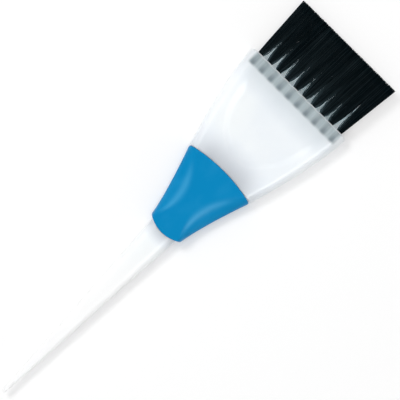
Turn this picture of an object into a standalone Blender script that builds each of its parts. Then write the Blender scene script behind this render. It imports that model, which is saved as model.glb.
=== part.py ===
"""Tint brush for hair colour, lying flat on a table.

A one-piece moulded handle runs from a pointed tail to a wide dished head. A soft grip is moulded over
its neck. Two rows of bristle tufts stand in blind holes in the end of the head. Each tuft is folded round
a flat wire anchor, which bites into the plastic on both sides of the hole.

Metres, +Z up. +X runs from the tail to the bristles, and z = 0 is the surface that the brush lies on.
"""

import math
from collections import namedtuple

import bmesh
import bpy

MM = 0.001

# Lengths along the brush, from the point of the tail to the trimmed ends of the bristles
TAIL_LENGTH = 103.4 * MM
GRIP_LENGTH = 35.1 * MM
HEAD_LENGTH = 51.0 * MM
BRISTLE_LENGTH = 30.5 * MM

# Tail, a slim flattened oval that tapers to a round point
TAIL_TIP_WIDTH = 1.6 * MM
TAIL_ROOT_WIDTH = 14.4 * MM
TAIL_TIP_THICKNESS = 1.8 * MM
TAIL_ROOT_THICKNESS = 6.6 * MM
TAIL_POINT_LENGTH = 1.2 * MM
TAIL_FLAT_SHARE = 0.35

# Grip, a soft sleeve whose ends bow outwards and whose flat face draws in at a waist
GRIP_TAIL_WIDTH = 18.3 * MM
GRIP_HEAD_WIDTH = 38.1 * MM
GRIP_FLARE_POWER = 1.27
GRIP_TAIL_THICKNESS = 8.2 * MM
GRIP_SWELL_SHARE = 0.35
GRIP_TAIL_BOW = 2.15 * MM
GRIP_HEAD_BOW = 2.1 * MM
GRIP_SIDE_WALL = 1.9 * MM
GRIP_FACE_WALL = 1.2 * MM
GRIP_EDGE_RADIUS = 0.7 * MM
GRIP_CORNER_RADIUS = 1.3 * MM
GRIP_TAIL_FACE_WIDTH = 21.2 * MM
GRIP_WAIST_FACE_WIDTH = 8.6 * MM
GRIP_HEAD_FACE_WIDTH = 32.8 * MM
GRIP_WAIST_SHARE = 0.4
GRIP_ROUNDNESS = 1.5
GRIP_FIT = 0.3 * MM

# Rounding of the tail's and the head's sides, where 2 is an ellipse and less has a crease
BODY_ROUNDNESS = 2.0

# Head, a flat paddle with rounded sides and a shallow dish in both faces
THROAT_WIDTH = 37.6 * MM
HEAD_WIDTH = 58.8 * MM
HEAD_FLARE_POWER = 1.5
THROAT_THICKNESS = 8.0 * MM
HEAD_SHOULDER = 4.0 * MM
HEAD_CORNER_RADIUS = 1.4 * MM
HEAD_EDGE_RADIUS = 0.7 * MM
BOW_FADE = 14.0 * MM
DISH_DEPTH = 1.2 * MM
DISH_MARGIN = 7.8 * MM
DISH_START = 8.0 * MM
DISH_ROUND = 20.0 * MM
DISH_WALL = 5.5 * MM
DISH_RUN_OUT = 12.0 * MM

# Blind holes for the tufts, in rows one above the other
TUFTS_PER_ROW = 10
ROW_NAMES = ("lower", "upper")
HOLE_DIAMETER = 3.0 * MM
HOLE_DEPTH = 5.9 * MM
HOLE_WALL = 1.05 * MM
ROW_WEB = 0.9 * MM
HOLE_SIDE_MARGIN = 3.05 * MM
BAND_FLOOR = 3.0 * MM

# Tufts, folded round their anchors and fanning out to a straight trimmed edge
TUFT_FIT = 0.15 * MM
TUFT_STAND = 0.3 * MM
TUFT_FOLD = 1.0 * MM
FOLD_ROUND = 0.35 * MM
KNEE_LENGTH = 11.0 * MM
STRAND_RING_SHARE = 0.62
STRAND_INSET = 0.06 * MM
STRAND_FILL = 0.85
TIP_SPREAD_ACROSS = 0.33 * MM
TIP_SPREAD_UP = 0.10 * MM
TIP_GAP = 0.12 * MM

# Anchors, short lengths of flat wire
ANCHOR_THICKNESS = 0.4 * MM
ANCHOR_HEIGHT = 1.5 * MM
ANCHOR_BITE = 0.45 * MM
ANCHOR_FIT = 0.12 * MM

# Facets
SHOULDER_STEPS = 5
FACE_STEPS = 10
HOLE_ARC_STEPS = 6
TUFT_SIDES = 8
SMOOTH_ANGLE = math.radians(32)

# Sizes that follow from those above
ROW_PITCH = HOLE_DIAMETER + ROW_WEB
BODY_THICKNESS = (len(ROW_NAMES) - 1) * ROW_PITCH + HOLE_DIAMETER + 2 * HOLE_WALL
MIDDLE = BODY_THICKNESS / 2
TUFT_PITCH = (HEAD_WIDTH - 2 * HOLE_SIDE_MARGIN - HOLE_DIAMETER) / (TUFTS_PER_ROW - 1)
GRIP_START = TAIL_LENGTH
GRIP_END = GRIP_START + GRIP_LENGTH
HEAD_END = GRIP_END + HEAD_LENGTH
BAND_LENGTH = HOLE_DEPTH + BAND_FLOOR
TAIL_X = -(HEAD_END + BRISTLE_LENGTH) / 2
ANCHOR_WIDTH = HOLE_DIAMETER + 2 * ANCHOR_BITE

Section = namedtuple("Section", "half_width half_thickness half_face roundness")
Fan = namedtuple("Fan", "across up fill")


def mix(low, high, share):
    return low + (high - low) * share


def ease(share):
    """A smooth step from 0 to 1, level at both ends."""
    share = min(max(share, 0.0), 1.0)
    return share * share * (3 - 2 * share)


def spread(low, high, steps):
    return [mix(low, high, step / steps) for step in range(steps + 1)]


def tail_section(distance):
    share = distance / TAIL_LENGTH
    half_width = mix(TAIL_TIP_WIDTH, TAIL_ROOT_WIDTH, share) / 2
    half_thickness = mix(TAIL_TIP_THICKNESS, TAIL_ROOT_THICKNESS, share) / 2
    return Section(half_width, half_thickness, TAIL_FLAT_SHARE * half_width, BODY_ROUNDNESS)


def grip_section(share):
    """Outside of the grip: sides that flare to the head, and a flat face drawn in at the waist."""
    half_width = mix(GRIP_TAIL_WIDTH, GRIP_HEAD_WIDTH, share**GRIP_FLARE_POWER) / 2
    slack = max(1 - share / GRIP_SWELL_SHARE, 0.0)
    half_thickness = mix(BODY_THICKNESS, GRIP_TAIL_THICKNESS, slack**2) / 2
    if share < GRIP_WAIST_SHARE:
        end_width = GRIP_TAIL_FACE_WIDTH
        reach = (GRIP_WAIST_SHARE - share) / GRIP_WAIST_SHARE
    else:
        end_width = GRIP_HEAD_FACE_WIDTH
        reach = (share - GRIP_WAIST_SHARE) / (1 - GRIP_WAIST_SHARE)
    half_face = mix(GRIP_WAIST_FACE_WIDTH, end_width, reach**2) / 2
    return Section(half_width, half_thickness, min(half_face, half_width - GRIP_SIDE_WALL), GRIP_ROUNDNESS)


def neck_section(share):
    """The handle under the grip, one wall and one fit inside the grip's outside."""
    outside = grip_section(share)
    half_width = outside.half_width - GRIP_SIDE_WALL - GRIP_FIT
    half_thickness = outside.half_thickness - GRIP_FACE_WALL - GRIP_FIT
    half_face = outside.half_face * half_width / outside.half_width
    return Section(half_width, half_thickness, half_face, outside.roundness)


def head_section(distance):
    share = min((distance - GRIP_END) / HEAD_LENGTH, 1.0)
    half_width = mix(THROAT_WIDTH, HEAD_WIDTH, 1 - (1 - share) ** HEAD_FLARE_POWER) / 2
    to_band = (distance - GRIP_END) / (HEAD_LENGTH - BAND_LENGTH)
    half_thickness = mix(THROAT_THICKNESS, BODY_THICKNESS, ease(to_band)) / 2
    return Section(half_width, half_thickness, half_width - HEAD_SHOULDER, BODY_ROUNDNESS)


def grown(section, across, up):
    half_width = section.half_width + across
    return section._replace(half_width=half_width, half_thickness=section.half_thickness + up)


def scaled(section, factor):
    half_sizes = [factor * size for size in section[:3]]
    return Section(*half_sizes, section.roundness)


def dish_depth(distance, across, half_width):
    """Depth of the dish at a point of the head's face, round towards the grip and run out at the band."""
    half_dish = half_width - DISH_MARGIN
    centre = GRIP_END + DISH_START + DISH_ROUND
    lengthwise = max(centre - distance, 0.0) / DISH_ROUND
    outwards = math.hypot(across / half_dish, lengthwise)
    wall = ease((1 - outwards) * half_dish / DISH_WALL)
    run_out = ease((HEAD_END - BAND_LENGTH - distance) / DISH_RUN_OUT)
    return DISH_DEPTH * wall * run_out


def bow_at(distance):
    """How far the middle of a cross-section is carried along, so that the grip's ends bow outwards."""
    if distance < GRIP_START:
        return -GRIP_TAIL_BOW * ease((distance - GRIP_START + BOW_FADE) / BOW_FADE)
    if distance > GRIP_END:
        return GRIP_HEAD_BOW * (1 - ease((distance - GRIP_END) / BOW_FADE))
    return mix(-GRIP_TAIL_BOW, GRIP_HEAD_BOW, (distance - GRIP_START) / GRIP_LENGTH)


def ring(section, distance, bow, dished=False):
    """Points round one cross-section: a shoulder, the upper face, a shoulder, and the same underneath."""
    half_width, half_thickness, half_face, roundness = section
    shoulder = []
    for step in range(SHOULDER_STEPS):
        angle = math.pi / 2 * step / SHOULDER_STEPS
        across = half_face + (half_width - half_face) * math.cos(angle) ** (2 / roundness)
        shoulder.append((across, half_thickness * math.sin(angle) ** (2 / roundness)))
    face = [(across, half_thickness) for across in spread(half_face, -half_face, FACE_STEPS)]
    upper = shoulder + face + [(-across, up) for across, up in reversed(shoulder)]
    lower = [(across, -up) for across, up in reversed(upper[1:-1])]
    points = []
    for across, up in upper + lower:
        along = distance + bow * (1 - (across / half_width) ** 2)
        if dished:
            up -= math.copysign(dish_depth(along, across, half_width), up) * (abs(across) < half_face)
        points.append((TAIL_X + along, across, MIDDLE + up))
    return points


def skin(mesh_data, rings, looped=False):
    """Joins neighbouring rings with quads, and the last ring to the first where the skin is looped."""
    rows = [[mesh_data.verts.new(point) for point in points] for points in rings]
    pairs = list(zip(rows, rows[1:]))
    if looped:
        pairs.append((rows[-1], rows[0]))
    for first, second in pairs:
        for index in range(len(first)):
            mesh_data.faces.new((first[index - 1], first[index], second[index], second[index - 1]))
    return rows


def add_object(name, mesh_data, material, parent):
    """Turns the mesh into a named object with outward faces and smooth shading."""
    bmesh.ops.recalc_face_normals(mesh_data, faces=mesh_data.faces)
    mesh = bpy.data.meshes.new(name)
    mesh_data.to_mesh(mesh)
    mesh_data.free()
    mesh.shade_smooth()
    mesh.set_sharp_from_angle(angle=SMOOTH_ANGLE)
    mesh.materials.append(material)
    made = bpy.data.objects.new(name, mesh)
    made.parent = parent
    bpy.context.scene.collection.objects.link(made)
    return made


def add_cutter(name, mesh_data, parent):
    cutter = add_object(name, mesh_data, None, parent)
    cutter.hide_render = True
    cutter.display_type = "WIRE"
    return cutter


def subtract(target, cutter):
    modifier = target.modifiers.new(cutter.name, "BOOLEAN")
    modifier.operation = "DIFFERENCE"
    modifier.solver = "EXACT"
    modifier.object = cutter


def make_material(name, colour, roughness, metallic=0.0):
    material = bpy.data.materials.new(name)
    material.use_nodes = True
    shader = material.node_tree.nodes["Principled BSDF"]
    shader.inputs["Base Color"].default_value = (*colour, 1.0)
    shader.inputs["Roughness"].default_value = roughness
    shader.inputs["Metallic"].default_value = metallic
    return material


def tuft_places():
    """Name, distance across and height of every tuft."""
    for row, row_name in enumerate(ROW_NAMES):
        height = MIDDLE + (row - (len(ROW_NAMES) - 1) / 2) * ROW_PITCH
        for column in range(TUFTS_PER_ROW):
            across = (column - (TUFTS_PER_ROW - 1) / 2) * TUFT_PITCH
            yield f"{row_name}_{column + 1:02d}", across, height


def grip_shares():
    return spread(0.0, 1.0, 9)


def handle_rings():
    """Cross-sections of the handle from the point of its tail to the flat end of its head."""
    rings = []
    for angle in (math.pi / 6, math.pi / 3):
        distance = TAIL_POINT_LENGTH * (1 - math.cos(angle))
        rings.append(ring(scaled(tail_section(TAIL_POINT_LENGTH), math.sin(angle)), distance, 0.0))
    tail_end = GRIP_START - GRIP_FIT
    bow_start = tail_end - BOW_FADE
    for distance in spread(TAIL_POINT_LENGTH, bow_start, 3) + spread(bow_start, tail_end, 4)[1:]:
        rings.append(ring(tail_section(distance), distance, bow_at(distance)))
    rings.append(ring(neck_section(0.0), tail_end, -GRIP_TAIL_BOW))
    for share in grip_shares()[1:-1]:
        distance = mix(GRIP_START, GRIP_END, share)
        rings.append(ring(neck_section(share), distance, bow_at(distance)))
    head_start = GRIP_END + GRIP_FIT
    rings.append(ring(neck_section(1.0), head_start, GRIP_HEAD_BOW))
    band_start = HEAD_END - BAND_LENGTH
    for distance in spread(head_start, band_start, 12):
        rings.append(ring(head_section(distance), distance, bow_at(distance), dished=True))
    for angle in spread(0.0, math.pi / 2, 3):
        shrink = 1 - math.cos(angle)
        distance = HEAD_END - HEAD_CORNER_RADIUS * (1 - math.sin(angle))
        section = grown(head_section(HEAD_END), -HEAD_CORNER_RADIUS * shrink, -HEAD_EDGE_RADIUS * shrink)
        rings.append(ring(section._replace(half_face=section.half_width - HEAD_SHOULDER), distance, 0.0))
    return rings


def hole_outline():
    """A round hole with a slit on each side, cut by the anchor as it is driven in, as (across, up) points."""
    radius = HOLE_DIAMETER / 2
    slit = ANCHOR_THICKNESS / 2 + ANCHOR_FIT
    reach = ANCHOR_WIDTH / 2 + ANCHOR_FIT
    start = math.asin(slit / radius)
    angles = spread(start, math.pi - start, HOLE_ARC_STEPS)
    arc = [(radius * math.cos(angle), radius * math.sin(angle)) for angle in angles]
    half = arc + [(-reach, slit), (-reach, -slit)]
    return half + [(-across, -up) for across, up in half]


def make_hole_cutter(parent):
    cutter = bmesh.new()
    floor = TAIL_X + HEAD_END - HOLE_DEPTH
    mouth = TAIL_X + HEAD_END + HOLE_DEPTH
    for _, across, height in tuft_places():
        rings = [[(x, across + y, height + z) for y, z in hole_outline()] for x in (floor, mouth)]
        for row in skin(cutter, rings):
            cutter.faces.new(row)
    return add_cutter("tuft_hole_cutter", cutter, parent)


def make_handle(material, parent):
    handle = bmesh.new()
    rows = skin(handle, handle_rings())
    point = handle.verts.new((TAIL_X, 0.0, MIDDLE))
    for index in range(len(rows[0])):
        handle.faces.new((point, rows[0][index - 1], rows[0][index]))
    handle.faces.new(rows[-1])
    made = add_object("handle", handle, material, parent)
    subtract(made, make_hole_cutter(parent))


def grip_outside():
    """Cross-sections of the grip's outside, with its corners and edges rounded at both ends."""
    turns = spread(0.0, math.pi / 2, 2)
    ends = [(GRIP_CORNER_RADIUS * (1 - math.cos(turn)), 1 - math.sin(turn)) for turn in turns]
    places = [(GRIP_START + depth, inset) for depth, inset in ends]
    places += [(mix(GRIP_START, GRIP_END, share), 0.0) for share in grip_shares()[1:-1]]
    places += [(GRIP_END - depth, inset) for depth, inset in reversed(ends)]
    rings = []
    for distance, inset in places:
        section = grip_section((distance - GRIP_START) / GRIP_LENGTH)
        section = grown(section, -GRIP_CORNER_RADIUS * inset, -GRIP_EDGE_RADIUS * inset)
        rings.append(ring(section, distance, bow_at(distance)))
    return rings


def make_grip(material, parent):
    """A sleeve: its outside, and its bore one fit clear of the neck."""
    bore = []
    for share in reversed(grip_shares()):
        distance = mix(GRIP_START, GRIP_END, share)
        bore.append(ring(grown(neck_section(share), GRIP_FIT, GRIP_FIT), distance, bow_at(distance)))
    grip = bmesh.new()
    skin(grip, grip_outside() + bore, looped=True)
    add_object("grip", grip, material, parent)


def tuft_crown(mesh_data, radius):
    """Top of a packed tuft: a ring of triangles round the middle, and a ring of quads round those."""

    def circle(size):
        angles = [2 * math.pi * (step + 0.5) / TUFT_SIDES for step in range(TUFT_SIDES)]
        places = [(size * math.cos(angle), size * math.sin(angle), 0.0) for angle in angles]
        return [mesh_data.verts.new(place) for place in places]

    middle = mesh_data.verts.new((0.0, 0.0, 0.0))
    inner = circle(radius * STRAND_RING_SHARE)
    outer = circle(radius)
    for index in range(TUFT_SIDES):
        mesh_data.faces.new((middle, inner[index - 1], inner[index]))
        mesh_data.faces.new((inner[index - 1], outer[index - 1], outer[index], inner[index]))


def extrude_rim(mesh_data, rim, height, shrink=1.0):
    """Extrudes a closed rim down to a height, drawn in towards the axis, and returns the new rim."""
    made = bmesh.ops.extrude_edge_only(mesh_data, edges=rim)["geom"]
    for vert in made:
        if isinstance(vert, bmesh.types.BMVert):
            vert.co = (vert.co.x * shrink, vert.co.y * shrink, height)
    return [edge for edge in made if isinstance(edge, bmesh.types.BMEdge) and edge.is_boundary]


def extrude_strands(mesh_data, ends, height, fan, lean):
    """Carries every strand up to a height: the crown fans out and leans, and each strand fills its share."""
    ends = bmesh.ops.extrude_discrete_faces(mesh_data, faces=ends)["faces"]
    for end in ends:
        centre = end.calc_center_median()
        for vert in end.verts:
            offset = (vert.co - centre) * fan.fill
            vert.co.x = (centre.x + offset.x) * fan.across + lean[0]
            vert.co.y = (centre.y + offset.y) * fan.up + lean[1]
            vert.co.z = height
    return ends


def fan_to_cell(crown):
    """How far the crown has to fan out for its outermost strands to reach the edge of the tuft's own cell."""
    reach_across = max(abs(vert.co.x) for face in crown for vert in face.verts)
    reach_up = max(abs(vert.co.y) for face in crown for vert in face.verts)
    across = (TUFT_PITCH / 2 - TIP_GAP) / reach_across
    up = (ROW_PITCH / 2 - TIP_GAP) / reach_up
    return Fan(across, up, STRAND_FILL)


def make_tuft(name, across, height, material, parent, channel):
    """One tuft: a packed root in its hole, and strands that fan out to its own cell, so that none crosses."""
    radius = HOLE_DIAMETER / 2 - TUFT_FIT
    root_length = HOLE_DEPTH - TUFT_FIT + TUFT_STAND
    tip = BRISTLE_LENGTH - TUFT_STAND
    knee = KNEE_LENGTH - TUFT_STAND
    columns_out = across / TUFT_PITCH
    rows_up = (height - MIDDLE) / ROW_PITCH
    lean = (columns_out * TIP_SPREAD_ACROSS, rows_up * TIP_SPREAD_UP)
    knee_lean = [shift * knee / tip for shift in lean]
    tuft = bmesh.new()
    tuft_crown(tuft, radius)
    crown = tuft.faces[:]
    rim = extrude_rim(tuft, [edge for edge in tuft.edges if edge.is_boundary], FOLD_ROUND - root_length)
    rim = extrude_rim(tuft, rim, -root_length, shrink=1 - FOLD_ROUND / radius)
    bmesh.ops.contextual_create(tuft, geom=rim)
    bmesh.ops.inset_individual(tuft, faces=crown, thickness=STRAND_INSET, use_even_offset=True)
    ends = extrude_strands(tuft, crown, knee, fan_to_cell(crown), knee_lean)
    spread_on = [late - early for late, early in zip(lean, knee_lean)]
    extrude_strands(tuft, ends, tip, Fan(1.0, 1.0, 1.0), spread_on)
    for vert in tuft.verts:
        vert.co = (vert.co.z, vert.co.x, vert.co.y)
    made = add_object(f"tuft_{name}", tuft, material, parent)
    made.location = (TAIL_X + HEAD_END + TUFT_STAND, across, height)
    subtract(made, channel)


def make_anchor_channel(row_name, height, parent):
    """The flat space that the anchors of one row take up inside its folded tufts."""
    channel = bmesh.new()
    bmesh.ops.create_cube(channel, size=1.0)
    size = (ANCHOR_HEIGHT + 2 * ANCHOR_FIT, HEAD_WIDTH, ANCHOR_THICKNESS + 2 * ANCHOR_FIT)
    bmesh.ops.scale(channel, vec=size, verts=channel.verts)
    cutter = add_cutter(f"anchor_channel_{row_name}", channel, parent)
    cutter.location = (anchor_x(), 0.0, height)
    return cutter


def anchor_x():
    """Middle of the anchors: above the floor of the holes by the tuft's fit and the thickness of its fold."""
    floor = TAIL_X + HEAD_END - HOLE_DEPTH
    return floor + TUFT_FIT + TUFT_FOLD + ANCHOR_FIT + ANCHOR_HEIGHT / 2


def make_anchors(material, parent):
    strip = bmesh.new()
    bmesh.ops.create_cube(strip, size=1.0)
    bmesh.ops.scale(strip, vec=(ANCHOR_HEIGHT, ANCHOR_WIDTH, ANCHOR_THICKNESS), verts=strip.verts)
    first = None
    for name, across, height in tuft_places():
        if first is None:
            made = first = add_object(f"anchor_{name}", strip, material, parent)
        else:
            made = bpy.data.objects.new(f"anchor_{name}", first.data)
            made.parent = parent
            bpy.context.scene.collection.objects.link(made)
        made.location = (anchor_x(), across, height)


def make_tufts(material, parent):
    channels = {}
    for name, across, height in tuft_places():
        row_name = name.split("_")[0]
        if row_name not in channels:
            channels[row_name] = make_anchor_channel(row_name, height, parent)
        make_tuft(name, across, height, material, parent, channels[row_name])


def main():
    for old in list(bpy.data.objects):
        bpy.data.objects.remove(old)
    brush = bpy.data.objects.new("tint_brush", None)
    bpy.context.scene.collection.objects.link(brush)
    make_handle(make_material("milky_plastic", (0.87, 0.90, 0.95), 0.35), brush)
    make_grip(make_material("blue_soft_plastic", (0.003, 0.25, 0.51), 0.45), brush)
    make_tufts(make_material("black_nylon", (0.004, 0.008, 0.010), 0.4), brush)
    make_anchors(make_material("anchor_steel", (0.62, 0.62, 0.60), 0.3, metallic=1.0), brush)


if __name__ == "__main__":
    main()
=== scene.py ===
"""Tint brush: a milky handle, a soft blue grip and folded black bristles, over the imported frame."""

import bpy
import numpy as np
from bpy.props import FloatProperty, FloatVectorProperty, IntProperty, PointerProperty
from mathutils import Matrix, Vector


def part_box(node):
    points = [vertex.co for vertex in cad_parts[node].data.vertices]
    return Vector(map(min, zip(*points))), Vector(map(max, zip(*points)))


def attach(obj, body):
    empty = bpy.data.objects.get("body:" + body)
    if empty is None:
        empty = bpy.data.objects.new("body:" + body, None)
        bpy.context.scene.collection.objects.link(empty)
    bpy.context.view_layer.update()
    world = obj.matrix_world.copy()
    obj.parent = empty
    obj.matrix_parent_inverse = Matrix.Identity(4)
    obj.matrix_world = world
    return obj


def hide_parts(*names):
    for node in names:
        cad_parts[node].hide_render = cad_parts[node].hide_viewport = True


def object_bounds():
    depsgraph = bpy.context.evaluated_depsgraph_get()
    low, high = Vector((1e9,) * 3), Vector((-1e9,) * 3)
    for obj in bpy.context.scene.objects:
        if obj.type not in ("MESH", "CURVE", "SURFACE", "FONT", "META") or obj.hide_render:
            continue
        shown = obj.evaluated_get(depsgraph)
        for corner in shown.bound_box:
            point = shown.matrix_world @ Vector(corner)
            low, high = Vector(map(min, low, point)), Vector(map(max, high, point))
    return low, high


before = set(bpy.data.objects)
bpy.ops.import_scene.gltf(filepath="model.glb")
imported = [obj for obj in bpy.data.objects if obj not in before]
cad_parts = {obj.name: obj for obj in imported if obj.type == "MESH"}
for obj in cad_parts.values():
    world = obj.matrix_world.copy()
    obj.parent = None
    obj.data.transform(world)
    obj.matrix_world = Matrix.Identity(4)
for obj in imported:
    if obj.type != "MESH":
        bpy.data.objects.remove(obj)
CAD_BOX = [list(corner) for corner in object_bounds()]

bl_info = {
    "name": "Tint brush",
    "version": (1, 0, 0),
    "blender": (4, 5, 0),
    "location": "View3D > Sidebar > Tint brush",
    "description": "Builds a salon tint brush, its finishes and its studio",
    "category": "Add Mesh",
}

MM = 0.001
GOLDEN_ANGLE = np.pi * (3 - np.sqrt(5))

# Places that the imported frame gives
HANDLE_LOW, HANDLE_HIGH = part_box("handle")
GRIP_LOW, GRIP_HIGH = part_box("grip")
TAIL_X = HANDLE_LOW[0]
HEAD_X = HANDLE_HIGH[0]
HEAD_HALF_WIDTH = HANDLE_HIGH[1]
MIDDLE = (HANDLE_LOW[2] + HANDLE_HIGH[2]) / 2
BODY_HALF_THICKNESS = (HANDLE_HIGH[2] - HANDLE_LOW[2]) / 2
TUFTS = sorted(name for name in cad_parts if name.startswith("tuft_"))
ANCHORS = [name.replace("tuft_", "anchor_") for name in TUFTS]
ANCHOR_LOW, ANCHOR_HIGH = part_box(ANCHORS[0])
TUFT_COLUMNS = len(TUFTS) // 2
TUFT_PITCH = (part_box(ANCHORS[TUFT_COLUMNS - 1])[0][1] - ANCHOR_LOW[1]) / (TUFT_COLUMNS - 1)
ROW_HALF_WIDTH = (TUFT_COLUMNS - 1) / 2 * TUFT_PITCH
BRISTLE_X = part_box(TUFTS[0])[1][0]

# Fineness of the meshes, in rows along a piece or steps round it
POINT_ROWS, TAIL_ROWS, NECK_ROWS, HEAD_ROWS, CLOSE_ROWS = 12, 100, 40, 110, 9
GRIP_EDGE_ROWS, GRIP_ROWS, BORE_ROWS = 14, 80, 30
SHOULDER_STEPS, FACE_STEPS, HOLE_STEPS = 22, 60, 22
SIDE_CROWDING = 1.6  # above 1, the steps of a shoulder are finer at the side
MOULD_LINE_BREADTH = 3.0  # in heights of the line
HANDLE_SHARP_ANGLE = np.radians(40)
GRIP_SHARP_ANGLE = np.radians(50)

# Spread of a tuft's filaments
ROOT_FILL = 0.96  # of the tuft's radius that the roots stand in
ANCHOR_ROOM = 0.6  # of a filament's diameter, from its middle to the anchor
FOLD_DEPTH, FOLD_ROUND = 0.1 * MM, 0.75 * MM  # least depth of a fold, and what a wide one adds
FOLD_TURN = np.radians([45.0, 90.0, 135.0])
LEG_POINTS = 12
LEG_CROWDING = 1.4  # above 1, the points of a leg are closer at the mouth
CELL_FILL = 0.512  # of the pitch, from a tuft's middle to its side at the tips
CELL_LOOSENING = 0.09  # of the pitch, that a tuft goes on to spread
HEIGHT_FILL = 0.92  # of a row's height that the tips fill
SIDE_REACH = 0.55  # of the pitch, from the last tuft's middle to the side of the bristles
TIP_SCATTER, LOOSE_SCATTER, SWAY_SCATTER = 0.08 * MM, 0.3 * MM, 0.25 * MM
HEIGHT_SCATTER, WAVE_SCATTER, WAVE_START = 0.2 * MM, 0.1 * MM, 6.0
STRAY_SHARE, STRAY_GAIN = 0.12, 2.5
FAN_REACH = 1.5  # in knees, from the mouth to where a leg has fanned out in full
TUFT_KNEE = 0.85, 1.15
EARLY_SHARE, EARLY_KNEE, LATE_KNEE = 0.4, (0.12, 0.85), (1.0, 1.3)
OUTER_GAIN, OUTER_POWER = 0.6, 4  # later knees towards the sides of the row
GAP_LIGHT_FADE = 3  # power by which the painted light on a gap-crossing leg fades towards its tip
SHADE_SPAN, SHADE_POWER = 0.22, 4

# Painted highlights along the grip's crests, as shares of its length and of the width beside its face
CREST_START, CREST_END, CREST_FADE = 0.3, 0.6, 0.35
CREST_PLACE, CREST_BREADTH = 0.3, 0.17

# Reach and strength of the tones and the painted shade in the handle
CLEAR_TAIL = 35 * MM
HEAD_SHADE, HEAD_SHADE_START, HEAD_SHADE_END = 0.9, -3.0 * MM, 16.0 * MM
HEAD_SHADE_RELIEF, TAIL_SHADE, TAIL_SHADE_END = 0.6, 0.55, 7.0 * MM
# painted shade behind the tuft roots: its strength, its run, and its relief at the sides
ROOT_SHADE, ROOT_SHADE_RUN, ROOT_SHADE_RELIEF = 0.38, 13 * MM, 0.5
ROOT_SHADE_SIDE_START, ROOT_SHADE_SIDE_END = 20 * MM, 27 * MM
STREAK, STREAK_FADE = 0.8, 0.4

# Floor, lamps, sky and camera
FLOOR_HALF_SIZE = 2.0
FLOOR_LIFT, BRISTLE_SHADOW_LIFT = 0.2, 0.3  # towards white, everywhere, and more round the bristles as painted light over their shadow
WHITE_START, WHITE_END = 0.25, 0.9
GAP_FADE_START, GAP_FADE_END = 12 * MM, 18 * MM
GAP_SIDE_START, GAP_SIDE_END = 24 * MM, 27 * MM
GAP_MOUTH, GAP_RISE = 0.42, 7 * MM  # light at the mouth, and the run to its full strength
WHITE = 1.0, 1.0, 1.0
BLACK = 0.0, 0.0, 0.0
SEEING_RAYS = "Is Camera Ray", "Is Glossy Ray", "Is Transmission Ray"
SKY_LIGHT = 0.45
LAMP_TARGET = 0.02, 0.0, 0.0
LAMPS = (  # name, place, two sides, power, and whether it is for glints alone
    ("key_softbox", (0.05, 0.95, 1.33), (0.5, 0.5), 9.6, False),
    ("top_softbox", (0.05, 0.0, 1.5), (0.9, 0.9), 6.7, False),
    ("low_fill", (0.05, -2.3, 0.6), (1.2, 0.5), 5.6, False),
    ("left_strip", (0.1, 0.38, 0.77), (0.5, 0.16), 3.5, True),
    ("right_strip", (0.1, -0.38, 0.77), (0.5, 0.16), 9.0, True),
)
CAMERA_PLACE = 0.0138, -0.0020, 0.906
CAMERA_TURN = np.radians(-45.2)
SENSOR_WIDTH, LENS = 36.0, 180.0


def length(name, description, millimetres):
    """A size in the panel, given in millimetres."""
    size = millimetres * MM
    return FloatProperty(name=name, description=description, default=size, unit="LENGTH")


def share(name, description, default):
    """A part of 1 in the panel."""
    return FloatProperty(name=name, description=description, default=default, subtype="FACTOR")


def power(name, description, default):
    """A plain number in the panel."""
    return FloatProperty(name=name, description=description, default=default)


def colour(name, description, default):
    """A colour in the panel."""
    return FloatVectorProperty(
        name=name, description=description, default=default, subtype="COLOR", size=3)


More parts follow.
